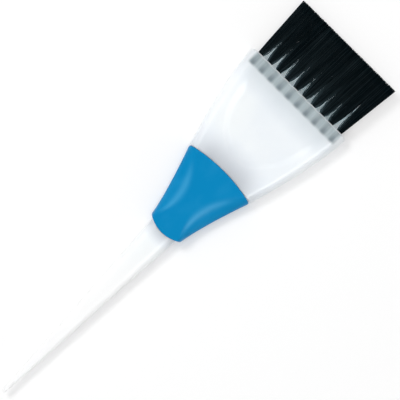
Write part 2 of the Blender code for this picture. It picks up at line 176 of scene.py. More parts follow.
class TintBrushSizes(bpy.types.PropertyGroup):
    """Sizes of the handle, the grip, the holes and the bristles."""

    tail_tip_width: length("Tail tip width", "Across the point of the tail", 1.6)
    tail_root_width: length("Tail root width", "Across the tail at the grip", 14.4)
    tail_tip_thickness: length("Tail tip thickness", "Through the point of the tail", 1.8)
    tail_root_thickness: length("Tail root thickness", "Through the tail at the grip", 6.6)
    tail_point_length: length("Tail point length", "Length of the rounded point", 1.2)
    tail_flat_share: share("Tail flat share", "Part of the tail's width that is flat", 0.35)
    grip_tail_width: length("Grip tail width", "Across the grip at its tail end", 18.3)
    grip_head_width: length("Grip head width", "Across the grip at its head end", 38.1)
    grip_flare_power: power("Grip flare", "How late the grip widens", 1.27)
    grip_tail_thickness: length("Grip tail thickness", "Through the grip at its tail end", 8.2)
    grip_swell_share: share("Grip swell share", "Part of the grip that thickens", 0.35)
    grip_tail_bow: length("Grip tail bow", "How far the tail end bows out", 2.15)
    grip_head_bow: length("Grip head bow", "How far the head end bows out", 2.1)
    grip_side_wall: length("Grip side wall", "Wall of the grip at its sides", 1.9)
    grip_face_wall: length("Grip face wall", "Wall of the grip on its faces", 1.2)
    grip_edge_radius: length("Grip edge radius", "Rounding of the grip's end edges", 0.7)
    grip_tail_face_width: length("Grip tail face width", "Flat face at the tail end", 19.6)
    grip_waist_face_width: length("Grip waist face width", "Flat face at its narrowest", 7.0)
    grip_head_face_width: length("Grip head face width", "Flat face at the head end", 32.0)
    grip_waist_share: share("Grip waist share", "Where the flat face is narrowest", 0.4)
    grip_roundness: power("Grip roundness", "2 is round, less has a crease", 1.75)
    grip_corner_radius: length("Grip corner radius", "Rounding of its corners from above", 1.3)
    grip_seat: length("Grip seat", "Line between the grip and the handle", 0.05)
    throat_width: length("Throat width", "Across the head where it leaves the grip", 37.6)
    throat_thickness: length("Throat thickness", "Through the head where it leaves the grip", 8.0)
    head_flare_power: power("Head flare", "How early the head widens", 1.5)
    head_shoulder: length("Head shoulder", "Width of the rounded sides of the head", 4.0)
    head_corner_radius: length("Head corner radius", "Rounding of the head's corners", 1.4)
    head_edge_radius: length("Head edge radius", "Rounding of the edges at the bristles", 0.7)
    band_length: length("Band length", "Full-thickness band that holds the holes", 8.9)
    bow_fade: length("Bow fade", "Length over which a bowed edge straightens out", 14.0)
    mould_line: length("Mould line", "Height of the line where the mould closed", 0.05)
    dish_depth: length("Dish depth", "Depth of the hollow in each face of the head", 0.9)
    dish_margin: length("Dish margin", "From the head's side to the hollow", 5.6)
    dish_start: length("Dish start", "From the grip to the hollow", 8.0)
    dish_round: length("Dish round", "Length of the hollow's rounded end", 20.0)
    dish_wall: length("Dish wall", "Run of the hollow's sloping wall", 4.0)
    dish_run_out: length("Dish run-out", "Length over which the hollow runs out", 8.0)
    hole_diameter: length("Hole diameter", "Bore that a tuft is driven into", 3.0)
    hole_depth: length("Hole depth", "Depth of that bore", 5.9)
    slit_clearance: length("Slit clearance", "Room round an anchor in its slit", 0.12)
    tuft_radius: length("Tuft radius", "Radius of a tuft where it leaves its hole", 1.4)
    filament_diameter: length("Filament diameter", "Thickness of one filament", 0.18)
    filament_pairs: IntProperty(
        name="Filaments", description="About how many folded filaments a tuft has", default=96)
    tip_splay: share("Tip splay", "How much wider the row is at its tips than at its roots", 0.045)
    knee_share: share("Knee share", "Part of the free length over which a tuft fans out", 0.42)
    tip_lean: length("Tip lean", "How far the tips are brushed to one side", -0.95)
    tip_overrun: length("Tip overrun", "How far the longest tips reach past the trim line", 0.4)
    tip_unevenness: length("Tip unevenness", "How far tips fall short of the longest", 0.22)


class TintBrushColours(bpy.types.PropertyGroup):
    """Colours of the finishes, as linear values."""

    milky: colour("Milky plastic", "Body of the handle", (0.885, 0.92, 0.955))
    milky_deep: colour("Milky plastic, deep", "Clouding inside the handle", (0.84, 0.88, 0.92))
    milky_thin: colour("Milky plastic, thin", "Tail, thin and clear", (0.915, 0.925, 0.93))
    milky_shaded: colour("Milky plastic, shaded", "Handle close to the grip", (0.46, 0.49, 0.53))
    root_band: colour("Root band", "Tuft roots seen through the plastic", (0.39, 0.46, 0.485))
    root_streak: colour("Root streak", "Each tuft's root, where it is darkest", (0.15, 0.19, 0.215))
    soft_blue: colour("Soft blue", "Body of the grip", (0.0005, 0.23, 0.50))
    # painted highlight: the paler blue along the grip's crests
    soft_blue_crest_highlight: colour("Soft blue, rubbed", "Rubbed crests", (0.036, 0.33, 0.615))
    nylon: colour("Black nylon", "Body of the bristles", (0.0005, 0.0044, 0.0068))
    # painted light: legs that cross the gaps near the mouth take this colour, as do the palest
    # filaments
    nylon_pale_and_lit: colour("Black nylon, pale", "The palest filaments", (0.10, 0.15, 0.17))
    steel: colour("Anchor steel", "Flat wire of the anchors", (0.52, 0.53, 0.55))
    gap_light: colour("Gap light", "Light that comes up between the tufts", (0.36, 0.47, 0.51))
    floor: colour("Floor", "Paper that the brush lies on", (0.98, 0.98, 0.98))


def ease(value):
    """Smooth step: 0 below 0, 1 above 1, level at both ends."""
    value = np.clip(value, 0.0, 1.0)
    return value * value * (3 - 2 * value)


def blend(low, high, part):
    """Straight from low to high as part goes from 0 to 1."""
    return low + (high - low) * part


def grip_span(sizes):
    """Start and end of the grip at its sides, from its box less the bow of each end."""
    return GRIP_LOW[0] + sizes.grip_tail_bow, GRIP_HIGH[0] - sizes.grip_head_bow


def tail_form(sizes, along):
    """Half width, half thickness and half flat face of the tail, each straight from tip to root."""
    start, _ = grip_span(sizes)
    part = (along - TAIL_X) / (start - TAIL_X)
    half_width = blend(sizes.tail_tip_width, sizes.tail_root_width, part) / 2
    half_thickness = blend(sizes.tail_tip_thickness, sizes.tail_root_thickness, part) / 2
    return half_width, half_thickness, sizes.tail_flat_share * half_width


def grip_form(sizes, along):
    """Half sizes of the grip: its width grows by a power, its face by a square from the waist."""
    start, end = grip_span(sizes)
    part = np.clip((along - start) / (end - start), 0.0, 1.0)
    flare = part**sizes.grip_flare_power
    half_width = blend(sizes.grip_tail_width, sizes.grip_head_width, flare) / 2
    slack = np.maximum(1 - part / sizes.grip_swell_share, 0.0)
    half_thickness = blend(BODY_HALF_THICKNESS, sizes.grip_tail_thickness / 2, slack**2)
    waist = sizes.grip_waist_share
    towards_tail = part < waist
    reach = np.where(towards_tail, (waist - part) / waist, (part - waist) / (1 - waist))
    end_face = np.where(towards_tail, sizes.grip_tail_face_width, sizes.grip_head_face_width)
    half_face = blend(sizes.grip_waist_face_width, end_face, reach**2) / 2
    return half_width, half_thickness, np.minimum(half_face, half_width - sizes.grip_side_wall)


def neck_form(sizes, along):
    """Half sizes of the neck inside the grip: the grip less its walls."""
    half_width, half_thickness, half_face = grip_form(sizes, along)
    inner_width = half_width - sizes.grip_side_wall - sizes.grip_seat
    inner_thickness = half_thickness - sizes.grip_face_wall - sizes.grip_seat
    return inner_width, inner_thickness, half_face * inner_width / half_width


def head_form(sizes, along):
    """Half sizes of the head: the width by a falling power, the thickness by a smooth step."""
    _, end = grip_span(sizes)
    part = np.clip((along - end) / (HEAD_X - end), 0.0, 1.0)
    flare = 1 - (1 - part) ** sizes.head_flare_power
    half_width = blend(sizes.throat_width / 2, HEAD_HALF_WIDTH, flare)
    to_band = ease((along - end) / (HEAD_X - sizes.band_length - end))
    half_thickness = blend(sizes.throat_thickness / 2, BODY_HALF_THICKNESS, to_band)
    return half_width, half_thickness, half_width - sizes.head_shoulder


def bow_form(sizes, along):
    """How far a section's middle is ahead of its sides: straight on the grip, fading past it."""
    start, end = grip_span(sizes)
    tail_side = -sizes.grip_tail_bow * ease((along - start + sizes.bow_fade) / sizes.bow_fade)
    head_side = sizes.grip_head_bow * (1 - ease((along - end) / sizes.bow_fade))
    between = blend(-sizes.grip_tail_bow, sizes.grip_head_bow, (along - start) / (end - start))
    return np.where(along < start, tail_side, np.where(along > end, head_side, between))


def dish_form(sizes, along, across, half_width):
    """Depth of the hollow: full in a U that opens to the bristles, easing out to its edges."""
    _, end = grip_span(sizes)
    half_dish = half_width - sizes.dish_margin
    round_end = end + sizes.dish_start + sizes.dish_round
    lengthwise = np.maximum(round_end - along, 0.0) / sizes.dish_round
    outwards = np.hypot(across / half_dish, lengthwise)
    wall = ease((1 - outwards) * half_dish / sizes.dish_wall)
    run_out = ease((HEAD_X - sizes.band_length - along) / sizes.dish_run_out)
    return sizes.dish_depth * wall * run_out


def section_columns(roundness):
    """Shares of the flat face, the shoulder and the height, for the points round a section.

    A quarter of a superellipse rises from the side to the face, the face runs across, and the
    other side mirrors that, as the underside does. A roundness of 2 is an ellipse, and a lower one
    has a crease along the face. The steps are fine at the side, where the mould line is.
    """
    rise = np.pi / 2 * np.linspace(0, 1, SHOULDER_STEPS + 1) ** SIDE_CROWDING
    outwards = np.maximum(np.cos(rise), 0.0) ** (2 / roundness)
    upwards = np.sin(rise) ** (2 / roundness)
    flat = np.linspace(1, -1, FACE_STEPS + 1)[1:-1]
    face = np.concatenate([np.ones_like(rise), flat, -np.ones_like(rise)])
    shoulder = np.concatenate([outwards, np.zeros_like(flat), -outwards[::-1]])
    height = np.concatenate([upwards, np.ones_like(flat), upwards[::-1]])
    under = slice(-2, 0, -1)
    return (np.concatenate([face, face[under]]), np.concatenate([shoulder, shoulder[under]]),
            np.concatenate([height, -height[under]]))


def sweep(along, forms, bow, roundness, mould_line=0.0):
    """Grid of points of a body swept along its axis: a row for each place, columns round it.

    Across is the face's share plus the shoulder's share, up is the half thickness times the
    height's share, and along gains the bow times one less the square of the share of the half
    width. A mould line adds a bell-shaped ridge at half height.
    """
    half_width, half_thickness, half_face = forms
    face, shoulder, height = section_columns(roundness)
    across = np.outer(half_face, face) + np.outer(half_width - half_face, shoulder)
    up = np.outer(half_thickness, height)
    ahead = along[:, None] + bow[:, None] * (1 - (across / half_width[:, None]) ** 2)
    if mould_line:
        ridge = mould_line * np.exp(-((up / (MOULD_LINE_BREADTH * mould_line)) ** 2))
        across = across + np.sign(across) * ridge
    return np.stack([ahead, across, MIDDLE + up], axis=-1)


def grid_quads(rows, columns, looped=False):
    """Quads of a grid whose columns close on themselves, and whose rows do too when looped."""
    row = np.arange(rows if looped else rows - 1)[:, None]
    column = np.arange(columns)[None, :]
    after = (row + 1) % rows * columns
    beside = (column + 1) % columns
    corners = [row * columns + column, row * columns + beside, after + beside, after + column]
    return np.stack(corners, axis=-1).reshape(-1, 4)


def new_mesh(name, points, faces, sharp_angle=None):
    """A smooth mesh, with creases where its faces turn by more than the sharp angle."""
    mesh = bpy.data.meshes.new(name)
    mesh.from_pydata(points.reshape(-1, 3), [], faces)
    mesh.validate()
    mesh.shade_smooth()
    if sharp_angle is not None:
        mesh.set_sharp_from_angle(angle=sharp_angle)
    return mesh


def add_attribute(mesh, name, values):
    """Give each point of a mesh a value that its finish reads."""
    mesh.attributes.new(name, "FLOAT", "POINT").data.foreach_set("value", values.ravel())


def new_piece(name, mesh, material, slot, *nodes):
    """A finished piece at the origin, on the brush's one body, standing for the CAD nodes given."""
    piece = bpy.data.objects.new(name, mesh)
    bpy.context.scene.collection.objects.link(piece)
    mesh.materials.clear()
    mesh.materials.append(material)
    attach(piece, "root")
    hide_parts(*nodes)
    return piece


def handle_points(sizes):
    """Rows of the handle: a rounded point, the tail, the neck a step down, the head, its end."""
    start, end = grip_span(sizes)
    turn = np.linspace(0, np.pi / 2, POINT_ROWS)[1:-1]
    point = TAIL_X + sizes.tail_point_length * (1 - np.cos(turn))
    point_end = TAIL_X + sizes.tail_point_length
    point_form = [np.sin(turn) * size for size in tail_form(sizes, point_end)]
    tail = np.linspace(point_end, start - sizes.grip_seat, TAIL_ROWS)
    neck = np.linspace(start - sizes.grip_seat, end + sizes.grip_seat, NECK_ROWS)
    head = np.linspace(end + sizes.grip_seat, HEAD_X - sizes.head_corner_radius, HEAD_ROWS)
    turn = np.linspace(0, np.pi / 2, CLOSE_ROWS)[1:]
    close = HEAD_X - sizes.head_corner_radius * (1 - np.sin(turn))
    full_width, full_thickness, _ = head_form(sizes, HEAD_X)
    close_width = full_width - sizes.head_corner_radius * (1 - np.cos(turn))
    close_thickness = full_thickness - sizes.head_edge_radius * (1 - np.cos(turn))
    close_form = close_width, close_thickness, close_width - sizes.head_shoulder
    along = np.concatenate([point, tail, neck, head, close])
    between = tail_form(sizes, tail), neck_form(sizes, neck), head_form(sizes, head)
    forms = [np.concatenate(parts) for parts in zip(point_form, *between, close_form)]
    grid = sweep(along, forms, bow_form(sizes, along), 2.0, sizes.mould_line)
    on_head = (along > end).astype(float)[:, None]
    depth = dish_form(sizes, grid[..., 0], grid[..., 1], forms[0][:, None]) * on_head
    grid[..., 2] -= np.sign(grid[..., 2] - MIDDLE) * depth
    return grid


def hole_prisms(sizes):
    """Cutter for every tuft hole: a circle with a slit on each side for the anchor.

    The outline is the circle wherever it stands outside the slit, and the slit's four corners
    elsewhere. It is carried from the hole's floor to beyond its mouth.
    """
    radius = sizes.hole_diameter / 2
    slit = (ANCHOR_HIGH[2] - ANCHOR_LOW[2]) / 2 + sizes.slit_clearance
    reach = (ANCHOR_HIGH[1] - ANCHOR_LOW[1]) / 2 + sizes.slit_clearance
    first = np.arcsin(slit / radius)
    turn = np.linspace(first, np.pi - first, HOLE_STEPS)
    half = np.stack([radius * np.cos(turn), radius * np.sin(turn)], axis=-1)
    half = np.concatenate([half, [[-reach, slit], [-reach, -slit]]])
    outline = np.concatenate([half, -half])
    count = len(outline)
    centres = np.array([np.mean(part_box(name), axis=0)[1:] for name in ANCHORS])
    flat = centres[:, None, None, :] + np.stack([outline, outline])[None]
    depths = np.array([HEAD_X - sizes.hole_depth, HEAD_X + sizes.hole_depth])
    along = np.broadcast_to(depths[None, :, None, None], flat.shape[:3] + (1,))
    points = np.concatenate([along, flat], axis=-1)
    starts = (2 * count * np.arange(len(ANCHORS)))[:, None]
    sides = (starts[:, :, None] + grid_quads(2, count)[None]).reshape(-1, 4)
    floors = starts + np.arange(count)[::-1]
    mouths = starts + count + np.arange(count)
    return new_mesh("hole_prisms", points, sides.tolist() + floors.tolist() + mouths.tolist())


def cut_holes(mesh, sizes):
    """The mesh less the hole prisms, by an exact Boolean that is applied here."""
    scene = bpy.context.scene
    body = bpy.data.objects.new("handle_blank", mesh)
    cutter = bpy.data.objects.new("hole_prisms", hole_prisms(sizes))
    scene.collection.objects.link(body)
    scene.collection.objects.link(cutter)
    holes = body.modifiers.new("tuft_holes", "BOOLEAN")
    holes.operation = "DIFFERENCE"
    holes.solver = "EXACT"
    holes.object = cutter
    done = body.evaluated_get(bpy.context.evaluated_depsgraph_get())
    bored = bpy.data.meshes.new_from_object(done)
    bpy.data.objects.remove(body)
    bpy.data.objects.remove(cutter)
    return bored


def edge_shrink(depth, radius):
    """How far a rounded edge lies inside its corner at a depth from the end: a quarter circle."""
    inside = np.clip(radius - depth, 0.0, radius)
    return radius - np.sqrt(radius**2 - inside**2)


def grip_points(sizes):
    """Rows of the grip, round a loop: the outside from tail to head, then back along the bore.

    The outside's end edges are quarter circles, rounder in the width than in the thickness.
    """
    start, end = grip_span(sizes)
    radius = sizes.grip_corner_radius
    edge = radius * (1 - np.cos(np.linspace(0, np.pi / 2, GRIP_EDGE_ROWS)))
    middle = np.linspace(start + radius, end - radius, GRIP_ROWS)[1:-1]
    outside = np.concatenate([start + edge, middle, end - edge[::-1]])
    depth = np.minimum(outside - start, end - outside)
    plan_shrink = edge_shrink(depth, radius)
    rim_shrink = edge_shrink(depth, sizes.grip_edge_radius)
    half_width, half_thickness, half_face = grip_form(sizes, outside)
    outside_form = half_width - plan_shrink, half_thickness - rim_shrink, half_face - rim_shrink
    bore = np.linspace(end, start, BORE_ROWS)
    neck_width, neck_thickness, neck_face = neck_form(sizes, bore)
    bore_form = neck_width + sizes.grip_seat, neck_thickness + sizes.grip_seat, neck_face
    along = np.concatenate([outside, bore])
    forms = [np.concatenate(parts) for parts in zip(outside_form, bore_form)]
    return sweep(along, forms, bow_form(sizes, along), sizes.grip_roundness)


def painted_crest_highlight(sizes, grid):
    """How strongly each point of the grip takes the painted highlight along its crest.

    It is a bell curve over the crest beside the face, fading out to both ends by smooth steps.
    """
    start, end = grip_span(sizes)
    part = (grid[..., 0] - start) / (end - start)
    half_width, _, half_face = grip_form(sizes, grid[..., 0])
    beyond_face = (np.abs(grid[..., 1]) - half_face) / (half_width - half_face)
    lengthwise = ease(part / CREST_START) * (1 - ease((part - CREST_END) / CREST_FADE))
    return lengthwise * np.exp(-(((beyond_face - CREST_PLACE) / CREST_BREADTH) ** 2))


def square_from_disc(across, up):
    """Stretch a unit disc to a unit square, so that round tufts fill their cells at the tips.

    Each place is half the difference of two roots: of 2 plus its own square, less the other's,
    with its own place times the root of 8 added and then taken away.
    """

    def stretch(own, other):
        square = 2 + own**2 - other**2
        twist = np.sqrt(8.0) * own
        return (np.sqrt(np.maximum(square + twist, 0)) - np.sqrt(np.maximum(square - twist, 0))) / 2

    return stretch(across, up), stretch(up, across)


def filament_roots(sizes, slot):
    """Roots of a tuft's filaments, in a sunflower pattern in the upper half of its hole.

    Gives their places in a unit disc, and then across and up from the middle of the hole, squeezed
    to lie above the anchor's slot. Each is shaped to spread over two legs and the points of a leg.
    """
    number = np.arange(2 * sizes.filament_pairs) + 0.5
    spread = ROOT_FILL * np.sqrt(number / len(number))
    across = spread * np.cos(number * GOLDEN_ANGLE)
    up = spread * np.sin(number * GOLDEN_ANGLE)
    across, up = across[up > 0], up[up > 0]
    root_across = sizes.tuft_radius * across
    room = np.sqrt(sizes.tuft_radius**2 - root_across**2)
    root_up = slot + np.maximum(room - slot, 0.0) * up / np.sqrt(1 - across**2)
    return [part[None, :, None] for part in (across, up, root_across, root_up)]


def leg_knees(sizes, centre_across, shape, chance):
    """Where each leg bends, as a share of its free length, and which legs fan out early.

    The knee comes later by a power of the tuft's place in the row, and differs from tuft to tuft.
    """
    outer = (abs(centre_across) / ROW_HALF_WIDTH) ** OUTER_POWER
    knee = sizes.knee_share * chance.uniform(*TUFT_KNEE) * (1 + OUTER_GAIN * outer)
    early = chance.random(shape) < EARLY_SHARE
    early_knee = chance.uniform(*EARLY_KNEE, shape)
    late_knee = chance.uniform(*LATE_KNEE, shape)
    return knee * np.where(early, early_knee, late_knee), early


def joined(along, across, up):
    """Points from their three coordinates, spread to one shape."""
    return np.stack(np.broadcast_arrays(along, across, up), axis=-1)


def filament_paths(sizes, anchor, chance):
    """Paths of one tuft's filaments, and how much painted light each of their points takes.

    A filament runs down one side of the anchor, round under it and up the other side. Beyond the
    mouth a leg fans out by a square to its knee, then runs on to the trim line with the row's sway
    and a wave of its own, inside the straight line of the bristles' side. Legs that fan out early
    get painted light near the mouth, where they cross a gap between tufts.
    """
    low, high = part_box(anchor)
    centre_across = (low[1] + high[1]) / 2
    centre_up = (low[2] + high[2]) / 2
    slot = (high[2] - low[2]) / 2 + ANCHOR_ROOM * sizes.filament_diameter
    across, up, root_across, root_up = filament_roots(sizes, slot)
    square_across, square_up = square_from_disc(across, up)
    side = np.array([1.0, -1.0])[:, None, None]
    shape = (2, across.shape[1], 1)
    free = np.linspace(0, 1, LEG_POINTS) ** LEG_CROWDING

    stray = 1 + STRAY_GAIN * (chance.random(shape) < STRAY_SHARE)
    tip_across = CELL_FILL * TUFT_PITCH * square_across + chance.normal(0, TIP_SCATTER, shape)
    loosening = CELL_LOOSENING * TUFT_PITCH * square_across
    loosening = loosening + stray * chance.normal(0, LOOSE_SCATTER, shape)
    sway = sizes.tip_splay * centre_across + chance.normal(0, SWAY_SCATTER)
    row_height = BODY_HALF_THICKNESS - abs(centre_up - MIDDLE)
    tip_up = HEIGHT_FILL * row_height * side * square_up + chance.normal(0, HEIGHT_SCATTER, shape)
    knee, early = leg_knees(sizes, centre_across, shape, chance)
    fan = 1 - np.maximum(1 - free / (FAN_REACH * knee), 0.0) ** 2
    wave = chance.normal(0, WAVE_SCATTER, shape)
    wave = wave * np.sin(2 * np.pi * free + chance.uniform(0, WAVE_START, shape)) * free
    short = np.abs(chance.normal(0, sizes.tip_unevenness, shape))

    leg_across = centre_across + blend(root_across, tip_across, fan) + wave
    leg_across = leg_across + (sway + loosening) * free
    tip_line = ROW_HALF_WIDTH * (1 + sizes.tip_splay) + SIDE_REACH * TUFT_PITCH
    side_line = blend(ROW_HALF_WIDTH + sizes.tuft_radius, tip_line, free)
    leg_across = np.clip(leg_across, -side_line, side_line) + sizes.tip_lean * free
    leg_up = centre_up + blend(side * root_up, tip_up, fan) + wave[:, ::-1]
    ceiling = BODY_HALF_THICKNESS - sizes.filament_diameter / 2
    leg_up = np.clip(leg_up, MIDDLE - ceiling, MIDDLE + ceiling)
    leg_along = blend(HEAD_X, BRISTLE_X + sizes.tip_overrun - short, free)
    seat = joined(low[0], centre_across + root_across, centre_up + side * root_up)
    legs = np.concatenate([seat, joined(leg_along, leg_across, leg_up)], axis=2)

    fold_depth = FOLD_DEPTH + FOLD_ROUND * root_up[0] / sizes.tuft_radius
    fold = joined(low[0] - fold_depth * np.sin(FOLD_TURN), centre_across + root_across[0],
                  centre_up + root_up[0] * np.cos(FOLD_TURN))
    paths = np.concatenate([legs[0, :, ::-1], fold, legs[1]], axis=1)

    # painted light on early legs where they cross a gap, fading towards their tips
    in_gap = early & (np.abs(centre_across + tip_across) < ROW_HALF_WIDTH)
    painted_gap_light = np.where(in_gap, (1 - free) ** GAP_LIGHT_FADE * square_across**2, 0.0)
    seats_and_fold = np.zeros((len(fold), fold.shape[1] + 2))
    return paths, np.concatenate([painted_gap_light[0, :, ::-1], seats_and_fold, painted_gap_light[1]], axis=1)


def tubes(paths, radius, sides=3):
    """Thin closed tubes along paths: a ring of points square to the path at each of its points."""
    tangent = np.gradient(paths, axis=1)
    tangent /= np.linalg.norm(tangent, axis=-1, keepdims=True)
    across = np.array([0.0, 1.0, 0.0]) - tangent[..., 1:2] * tangent
    across /= np.linalg.norm(across, axis=-1, keepdims=True)
    above = np.cross(tangent, across)
    turn = 2 * np.pi * np.arange(sides) / sides
    ring = across[:, :, None] * np.cos(turn)[:, None] + above[:, :, None] * np.sin(turn)[:, None]
    points = paths[:, :, None] + radius * ring
    count, steps = paths.shape[:2]
    starts = (steps * sides * np.arange(count))[:, None]
    walls = (starts[:, :, None] + grid_quads(steps, sides)[None]).reshape(-1, 4)
    first = starts + np.arange(sides)[::-1]
    last = starts + (steps - 1) * sides + np.arange(sides)
    return points, walls.tolist() + first.tolist() + last.tolist()


class Value:
    """A shader socket that Python arithmetic works on: each operation adds one Math node."""

    def __init__(self, finish, socket):
        self.finish = finish
        self.socket = socket

    def math(self, operation, first, second):
        return self.finish.node("ShaderNodeMath", {"operation": operation}, {0: first, 1: second})

    def __add__(self, other):
        return self.math("ADD", self, other)

    def __radd__(self, other):
        return self.math("ADD", other, self)

    def __sub__(self, other):
        return self.math("SUBTRACT", self, other)

    def __rsub__(self, other):
        return self.math("SUBTRACT", other, self)

    def __mul__(self, other):
        return self.math("MULTIPLY", self, other)

    def __rmul__(self, other):
        return self.math("MULTIPLY", other, self)

    def __abs__(self):
        return self.math("ABSOLUTE", self, 0.0)


class Finish:
    """A node material with one Principled surface, and short ways to the nodes that feed it."""

    def __init__(self, name):
        self.material = bpy.data.materials.new(name)
        self.material.use_nodes = True
        self.tree = self.material.node_tree
        self.tree.nodes.clear()
        self.surface = self.tree.nodes.new("ShaderNodeBsdfPrincipled")
        self.output = self.tree.nodes.new("ShaderNodeOutputMaterial")
        self.tree.links.new(self.surface.outputs[0], self.output.inputs[0])
        self.place = self.node("ShaderNodeTexCoord", output="Object")

    def feed(self, socket, value):
        """Link a value to a socket, or set the socket to a constant."""
        if isinstance(value, Value):
            self.tree.links.new(value.socket, socket)
        else:
            socket.default_value = value

    def node(self, kind, settings=None, sockets=None, output=0):
        """Any node, by its settings and the values of its sockets. Gives the output asked for."""
        made = self.tree.nodes.new(kind)
        for name, setting in (settings or {}).items():
            setattr(made, name, setting)
        for key, value in (sockets or {}).items():
            self.feed(made.inputs[key], value)
        return Value(self, made.outputs[output])

    def set(self, **sockets):
        """Feed the surface's sockets, by their names with underscores for spaces."""
        for name, value in sockets.items():
            self.feed(self.surface.inputs[name.replace("_", " ")], value)

    def axes(self):
        """The three object coordinates: along, across and up."""
        parts = self.node("ShaderNodeSeparateXYZ", sockets={0: self.place}).socket.node
        return [Value(self, output) for output in parts.outputs]

    def noise(self, scale, detail=3.0, stretch=(1.0, 1.0, 1.0)):
        """Noise from 0 to 1, drawn out along the axes whose stretch is under 1."""
        place = self.node("ShaderNodeMapping", sockets={"Vector": self.place, "Scale": stretch})
        sockets = {"Vector": place, "Scale": scale, "Detail": detail}
        return self.node("ShaderNodeTexNoise", sockets=sockets)

    def rise(self, value, low, high):
        """Smooth step of a value from 0 at low to 1 at high."""
        sockets = {"Value": value, "From Min": low, "From Max": high}
        return self.node("ShaderNodeMapRange", {"interpolation_type": "SMOOTHSTEP"}, sockets)

    def tint(self, factor, low, high):
        """Mix of two colours by a factor."""
        low, high = (end if isinstance(end, Value) else (*end, 1.0) for end in (low, high))
        return self.node("ShaderNodeMix", {"data_type": "RGBA"}, {0: factor, 6: low, 7: high}, 2)

    def bump(self, height, distance, strength):
        """Normal that is bent by a height."""
        sockets = {"Height": height, "Distance": distance, "Strength": strength}
        return self.node("ShaderNodeBump", sockets=sockets)


def milky_plastic(sizes, colours):
    """Clouded moulding, shaded beside the grip, with the tuft roots grey behind the bristles."""
    finish = Finish("milky_plastic")
    along, across, _ = finish.axes()
    clouding = finish.noise(scale=55.0, detail=4.0, stretch=(0.5, 1.0, 1.0))
    body = finish.tint(finish.rise(clouding, 0.35, 0.75), colours.milky, colours.milky_deep)
    thin = 1 - finish.rise(along, GRIP_LOW[0] - CLEAR_TAIL, GRIP_LOW[0])
    body = finish.tint(thin, body, colours.milky_thin)
    body = finish.tint(grip_shade(finish, sizes, along, across), body, colours.milky_shaded)
    # painted shade behind the tuft roots, then the roots themselves
    root_shade, band, streak = root_masks(finish, sizes, along, across)
    body = finish.tint(root_shade, body, colours.root_band)
    body = finish.tint(band, body, colours.root_band)
    finish.set(Base_Color=finish.tint(streak, body, colours.root_streak))
    handling = finish.noise(scale=420.0, detail=2.0, stretch=(0.3, 1.0, 1.0))
    finish.set(Roughness=0.3 + 0.1 * handling)
    ripple = finish.noise(scale=260.0, detail=3.0)
    finish.set(Normal=finish.bump(ripple, distance=0.04 * MM, strength=0.2))
    finish.set(Subsurface_Weight=0.75, Subsurface_Scale=4.0 * MM)
    finish.set(Subsurface_Radius=(1.0, 1.0, 1.0), Specular_IOR_Level=0.2)
    return finish.material


def root_masks(finish, sizes, along, across):
    """Masks of the tuft roots seen through the head: a wide faint painted shade, their band, their
    streaks.

    The band runs from the floor of the holes to just short of the head's end, which leaves a painted
    highlight along that edge, and a streak stands at each tuft's place in the row.
    """
    floor = HEAD_X - sizes.hole_depth
    # painted shade: a wide, faint darkening of the plastic before the hole floors
    root_shade = ROOT_SHADE * finish.rise(along, floor - ROOT_SHADE_RUN, floor + 1 * MM)
    at_side = finish.rise(abs(across), ROOT_SHADE_SIDE_START, ROOT_SHADE_SIDE_END)
    root_shade = root_shade * (1 - ROOT_SHADE_RELIEF * at_side)
    band = finish.rise(along, floor - 1.0 * MM, floor + 0.8 * MM)
    # stopping short of the head's end leaves a painted highlight along that edge
    band = band * (1 - finish.rise(along, HEAD_X - 0.8 * MM, HEAD_X - 0.2 * MM))
    edge = TUFT_PITCH * TUFT_COLUMNS / 2 - sizes.hole_diameter / 4
    band = band * (1 - finish.rise(abs(across), edge - 1.0 * MM, edge + 0.7 * MM))
    column = {0: across * (1 / TUFT_PITCH) + 0.5, 1: 0.5}
    from_tuft = finish.node("ShaderNodeMath", {"operation": "PINGPONG"}, column)
    root = 1 - finish.rise(from_tuft, 0.04, 0.42)
    deep = STREAK - STREAK_FADE * finish.rise(along, floor + 0.6 * MM, floor + 4.2 * MM)
    uneven = finish.noise(scale=1500.0, detail=3.0, stretch=(0.12, 1.0, 1.0))
    return root_shade, band * (0.6 + 0.7 * uneven), band * root * deep


def grip_shade(finish, sizes, along, across):
    """Mask of the plastic near the grip: it fades from each bowed end, and towards the sides."""
    start, end = grip_span(sizes)
    head_bow, tail_bow = sizes.grip_head_bow, sizes.grip_tail_bow
    head_share = across * (2 / sizes.grip_head_width)
    tail_share = across * (2 / sizes.grip_tail_width)
    past_head = along - (end + head_bow) + head_bow * (head_share * head_share)
    past_tail = (start - tail_bow) - along + tail_bow * (tail_share * tail_share)
    head_fade = finish.rise(past_head, HEAD_SHADE_START, HEAD_SHADE_END)
    at_side = finish.rise(abs(head_share), 0.4, 1.0)
    head_side = (HEAD_SHADE - HEAD_SHADE * head_fade) * (1 - HEAD_SHADE_RELIEF * at_side)
    tail_side = (1 - finish.rise(past_tail, 0.0, TAIL_SHADE_END)) * TAIL_SHADE
    on_head = finish.rise(along, -0.1 * MM, 0.1 * MM)
    return on_head * head_side + (1 - on_head) * tail_side


def soft_blue(colours):
    """Soft moulded grip: a fine grain, faint random wear, and a painted highlight along the crests.
    """
    finish = Finish("soft_blue_plastic")
    crest = finish.node("ShaderNodeAttribute", {"attribute_name": "painted_crest_highlight"}, output="Fac")
    wear = finish.noise(scale=120.0, detail=4.0, stretch=(0.6, 1.0, 1.0))
    # painted highlight along the crests, plus faint random wear
    highlight_and_wear = 0.8 * crest + 0.15 * finish.rise(wear, 0.42, 0.72)
    finish.set(Base_Color=finish.tint(highlight_and_wear, colours.soft_blue, colours.soft_blue_crest_highlight))
    grain = finish.noise(scale=2600.0, detail=2.0)
    finish.set(Roughness=0.24 + 0.1 * grain - 0.03 * highlight_and_wear)
    finish.set(Normal=finish.bump(grain, distance=0.02 * MM, strength=0.3))
    finish.set(Specular_IOR_Level=0.02, Sheen_Weight=0.3, Sheen_Roughness=0.4)
    return finish.material


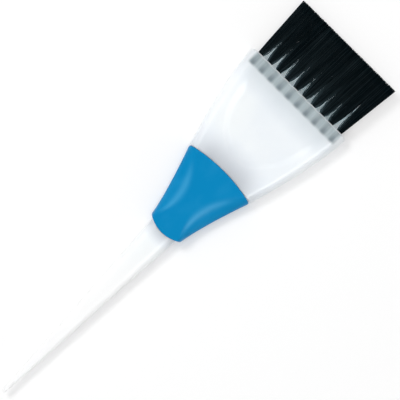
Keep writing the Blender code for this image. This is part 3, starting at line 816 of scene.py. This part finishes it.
def black_nylon(colours):
    """Filaments, each a little different in tone, some with painted light, and a faint drawn texture
    along them.
    """
    finish = Finish("black_nylon")
    shade = finish.node("ShaderNodeAttribute", {"attribute_name": "filament_tone_and_light"}, output="Fac")
    drawn = finish.noise(scale=900.0, detail=2.0, stretch=(0.05, 1.0, 1.0))
    # the attribute holds each filament's random tone plus painted light in the gaps
    mixed = shade * (0.6 + 0.8 * drawn)
    finish.set(Base_Color=finish.tint(mixed, colours.nylon, colours.nylon_pale_and_lit))
    finish.set(Roughness=0.36 + 0.18 * drawn)
    finish.set(Specular_IOR_Level=0.02)
    return finish.material


def anchor_steel(colours):
    """Flat drawn wire with fine lines along it, duller between them."""
    finish = Finish("anchor_steel")
    lines = finish.noise(scale=2400.0, detail=3.0, stretch=(1.0, 0.06, 1.0))
    dull = tuple(0.7 * part for part in colours.steel)
    finish.set(Base_Color=finish.tint(finish.rise(lines, 0.3, 0.7), dull, colours.steel))
    finish.set(Roughness=0.28 + 0.2 * lines, Metallic=1.0)
    finish.set(Normal=finish.bump(lines, distance=0.01 * MM, strength=0.4))
    return finish.material


def floor_paper(colours):
    """White paper with a very faint tooth, lifted towards plain white, in full far off.

    Round the bristles it is lifted more, as painted light on their shadow. Below the gaps between the
    tufts it gives off the cool light that comes up there instead, weaker close to the head.
    """
    finish = Finish("floor_paper")
    along, across, _ = finish.axes()
    tooth = finish.noise(scale=900.0, detail=2.0)
    paler = tuple(min(1.0, 1.01 * part) for part in colours.floor)
    finish.set(Base_Color=finish.tint(tooth, colours.floor, paler))
    finish.set(Roughness=0.9, Specular_IOR_Level=0.0)
    under = finish.rise(along, HEAD_X - 1 * MM, HEAD_X + 1 * MM)
    under = under * (1 - finish.rise(along, HEAD_X + GAP_FADE_START, HEAD_X + GAP_FADE_END))
    under = under * (1 - finish.rise(abs(across), GAP_SIDE_START, GAP_SIDE_END))
    strength = GAP_MOUTH + (1 - GAP_MOUTH) * finish.rise(along, HEAD_X, HEAD_X + GAP_RISE)
    finish.set(Emission_Color=finish.tint(under * strength, BLACK, colours.gap_light))
    finish.set(Emission_Strength=1.0)
    white = finish.node("ShaderNodeEmission", sockets={"Color": (*WHITE, 1.0), "Strength": 1.0})
    rays = finish.node("ShaderNodeLightPath").socket.node.outputs
    camera, glossy, through = (Value(finish, rays[name]) for name in SEEING_RAYS)
    # painted light: round the bristles the floor is lifted further, so their shadow is fainter
    near = FLOOR_LIFT + BRISTLE_SHADOW_LIFT * finish.rise(along, HEAD_X - 2 * MM, HEAD_X + 8 * MM)
    far = finish.rise(along * along + across * across, WHITE_START**2, WHITE_END**2)
    lift = (camera + glossy + through) * (near + (1 - near) * far) * (1 - under)
    lit = Value(finish, finish.surface.outputs[0])
    shown = finish.node("ShaderNodeMixShader", sockets={0: lift, 1: lit, 2: white})
    finish.feed(finish.output.inputs[0], shown)
    return finish.material


def add_softbox(name, place, sides, watts, glint_only):
    """An area lamp at a place, turned to the brush, for glints alone or for all but glints."""
    lamp = bpy.data.lights.new(name, "AREA")
    lamp.shape = "RECTANGLE"
    lamp.size, lamp.size_y = sides
    lamp.energy = watts
    holder = bpy.data.objects.new(name, lamp)
    holder.location = place
    aim = Vector(LAMP_TARGET) - Vector(place)
    holder.rotation_euler = aim.to_track_quat("-Z", "Y").to_euler()
    holder.visible_glossy = glint_only
    holder.visible_diffuse = not glint_only
    bpy.context.scene.collection.objects.link(holder)


class TINTBRUSH_OT_stage(bpy.types.Operator):
    """Lay the floor and set the lamps, the sky and the camera"""

    bl_idname = "tint_brush.make_stage"
    bl_label = "Make the stage"

    def execute(self, context):
        scene = context.scene
        scene.view_settings.view_transform = "Standard"
        square = np.array([[-1.0, -1.0], [1.0, -1.0], [1.0, 1.0], [-1.0, 1.0]])
        corners = np.column_stack([FLOOR_HALF_SIZE * square, np.full(4, CAD_BOX[0][2])])
        mesh = new_mesh("floor", corners, [(0, 1, 2, 3)])
        floor = bpy.data.objects.new("floor", mesh)
        scene.collection.objects.link(floor)
        mesh.materials.append(floor_paper(scene.tint_brush_colours))
        for lamp in LAMPS:
            add_softbox(*lamp)
        self.light_sky(scene)
        self.set_camera(scene)
        return {"FINISHED"}

    def light_sky(self, scene):
        """An even white sky, at full strength only where it is seen, also in or through a piece."""
        world = bpy.data.worlds.new("studio_sky")
        world.use_nodes = True
        tree = world.node_tree
        tree.nodes.clear()
        rays = tree.nodes.new("ShaderNodeLightPath").outputs
        seen = rays[SEEING_RAYS[0]]
        for name in SEEING_RAYS[1:]:
            either = tree.nodes.new("ShaderNodeMath")
            either.operation = "MAXIMUM"
            tree.links.new(seen, either.inputs[0])
            tree.links.new(rays[name], either.inputs[1])
            seen = either.outputs[0]
        shown = tree.nodes.new("ShaderNodeMixShader")
        tree.links.new(seen, shown.inputs[0])
        for socket, strength in ((1, SKY_LIGHT), (2, 1.0)):
            sky = tree.nodes.new("ShaderNodeBackground")
            sky.inputs["Color"].default_value = (*WHITE, 1.0)
            sky.inputs["Strength"].default_value = strength
            tree.links.new(sky.outputs[0], shown.inputs[socket])
        output = tree.nodes.new("ShaderNodeOutputWorld")
        tree.links.new(shown.outputs[0], output.inputs["Surface"])
        scene.world = world

    def set_camera(self, scene):
        """A long lens straight above, turned so that the brush runs up from the lower left."""
        camera = bpy.data.cameras.new("camera")
        camera.sensor_width = SENSOR_WIDTH
        camera.lens = LENS
        holder = bpy.data.objects.new("camera", camera)
        holder.location = CAMERA_PLACE
        holder.rotation_euler = (0.0, 0.0, CAMERA_TURN)
        scene.collection.objects.link(holder)
        scene.camera = holder


class TINTBRUSH_OT_handle(bpy.types.Operator):
    """Make the milky handle, with its tail, neck, dished head and tuft holes"""

    bl_idname = "tint_brush.make_handle"
    bl_label = "Make the handle"

    def execute(self, context):
        sizes = context.scene.tint_brush_sizes
        grid = handle_points(sizes)
        rows, columns = grid.shape[:2]
        tip = np.array([[TAIL_X, 0.0, MIDDLE]])
        column = np.arange(columns)
        pole = np.full(columns, rows * columns)
        fan = np.stack([pole, (column + 1) % columns, column], axis=-1)
        end = column + (rows - 1) * columns
        faces = grid_quads(rows, columns).tolist() + fan.tolist() + [end.tolist()]
        blank = new_mesh("handle_blank", np.concatenate([grid.reshape(-1, 3), tip]), faces)
        mesh = cut_holes(blank, sizes)
        mesh.name = "handle_body"
        mesh.set_sharp_from_angle(angle=HANDLE_SHARP_ANGLE)
        plastic = milky_plastic(sizes, context.scene.tint_brush_colours)
        new_piece("handle_body", mesh, plastic, "handle", "handle")
        return {"FINISHED"}


class TINTBRUSH_OT_grip(bpy.types.Operator):
    """Make the soft blue grip sleeve over the neck"""

    bl_idname = "tint_brush.make_grip"
    bl_label = "Make the grip"

    def execute(self, context):
        sizes = context.scene.tint_brush_sizes
        grid = grip_points(sizes)
        faces = grid_quads(*grid.shape[:2], looped=True)
        mesh = new_mesh("grip_sleeve", grid, faces.tolist(), GRIP_SHARP_ANGLE)
        # painted highlight along the crests, stored on each point
        add_attribute(mesh, "painted_crest_highlight", painted_crest_highlight(sizes, grid))
        new_piece("grip_sleeve", mesh, soft_blue(context.scene.tint_brush_colours), "grip", "grip")
        return {"FINISHED"}


class TINTBRUSH_OT_tufts(bpy.types.Operator):
    """Make the tufts of folded nylon filaments"""

    bl_idname = "tint_brush.make_tufts"
    bl_label = "Make the tufts"

    def execute(self, context):
        sizes = context.scene.tint_brush_sizes
        nylon = black_nylon(context.scene.tint_brush_colours)
        for seed, (tuft, anchor) in enumerate(zip(TUFTS, ANCHORS)):
            chance = np.random.default_rng(seed)
            paths, painted_gap_light = filament_paths(sizes, anchor, chance)
            points, faces = tubes(paths, sizes.filament_diameter / 2)
            mesh = new_mesh(f"{tuft}_filaments", points, faces)
            # random tone of each filament, plus painted light where a leg crosses a gap
            shade = SHADE_SPAN * chance.random((len(paths), 1)) ** SHADE_POWER + painted_gap_light
            add_attribute(mesh, "filament_tone_and_light", np.repeat(shade.ravel(), points.shape[2]))
            new_piece(f"{tuft}_filaments", mesh, nylon, "bristles", tuft)
        return {"FINISHED"}


class TINTBRUSH_OT_anchors(bpy.types.Operator):
    """Give the wire anchors their steel finish"""

    bl_idname = "tint_brush.finish_anchors"
    bl_label = "Finish the anchors"

    def execute(self, context):
        steel = anchor_steel(context.scene.tint_brush_colours)
        for name in ANCHORS:
            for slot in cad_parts[name].material_slots:
                slot.material = steel
        return {"FINISHED"}


class TINTBRUSH_PT_pieces(bpy.types.Panel):
    """Pieces of the tint brush, in the order that they are made"""

    bl_idname = "TINTBRUSH_PT_pieces"
    bl_label = "Tint brush"
    bl_space_type = "VIEW_3D"
    bl_region_type = "UI"
    bl_category = "Tint brush"

    def draw(self, context):
        for operator in OPERATORS:
            self.layout.operator(operator.bl_idname)


OPERATORS = (
    TINTBRUSH_OT_stage,
    TINTBRUSH_OT_handle,
    TINTBRUSH_OT_grip,
    TINTBRUSH_OT_tufts,
    TINTBRUSH_OT_anchors,
)
CLASSES = (TintBrushSizes, TintBrushColours, *OPERATORS, TINTBRUSH_PT_pieces)


def register():
    for kind in CLASSES:
        bpy.utils.register_class(kind)
    bpy.types.Scene.tint_brush_sizes = PointerProperty(type=TintBrushSizes)
    bpy.types.Scene.tint_brush_colours = PointerProperty(type=TintBrushColours)


def unregister():
    del bpy.types.Scene.tint_brush_colours
    del bpy.types.Scene.tint_brush_sizes
    for kind in reversed(CLASSES):
        bpy.utils.unregister_class(kind)


def main():
    register()
    bpy.ops.tint_brush.make_stage()
    bpy.ops.tint_brush.make_handle()
    bpy.ops.tint_brush.make_grip()
    bpy.ops.tint_brush.make_tufts()
    bpy.ops.tint_brush.finish_anchors()


if __name__ == "__main__":
    main()
